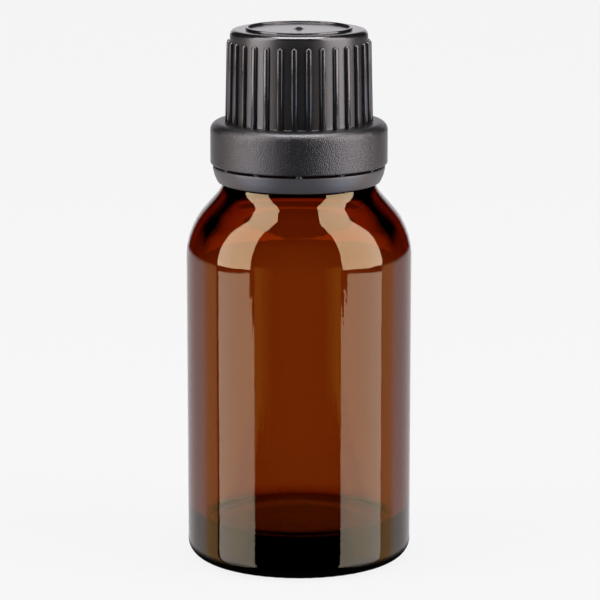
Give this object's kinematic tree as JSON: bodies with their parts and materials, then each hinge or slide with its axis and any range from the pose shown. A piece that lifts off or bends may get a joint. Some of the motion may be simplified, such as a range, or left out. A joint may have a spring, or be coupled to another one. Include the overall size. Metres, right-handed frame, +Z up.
{
  "type": "dropper bottle",
  "caption": "Small round amber glass bottle with a drip insert in its neck, closed by a ribbed black screw cap with a tamper band.",
  "frame": {"origin": "centre of the base, on the surface the bottle stands on", "axes": "+Z up along the bottle's axis, through the cap; the bottle is round, so +X and +Y are free, and the air tube of the insert lies towards +X"},
  "size_m": [0.031, 0.031, 0.0738],
  "materials": {
    "amber_glass": "clear amber moulded soda-lime glass, fire polished",
    "natural_plastic": "natural translucent low-density polyethylene",
    "black_cap_plastic": "black polypropylene, fine satin texture with glossier grip ribs",
    "black_band_plastic": "black polypropylene, smooth satin"
  },
  "bodies": {
    "bottle": {"glass_bottle": "amber_glass", "dropper_insert": "natural_plastic"},
    "band": {"tamper_band": "black_band_plastic"},
    "cap": {"screw_cap": "black_cap_plastic"}
  },
  "joints": [
    {"name": "cap_turn", "type": "hinge", "parent": "bottle", "child": "band", "pos_m": [0, 0, 0.0535], "axis": [0, 0, 1], "range_deg": [0, 2160]},
    {"name": "cap_rise", "type": "slide", "parent": "band", "child": "cap", "axis": [0, 0, 1], "range_m": [0, 0.018]}
  ],
  "couplings": [
    {"joint": "cap_rise", "follows": "cap_turn", "m_per_rad": 0.00047746}
  ]
}
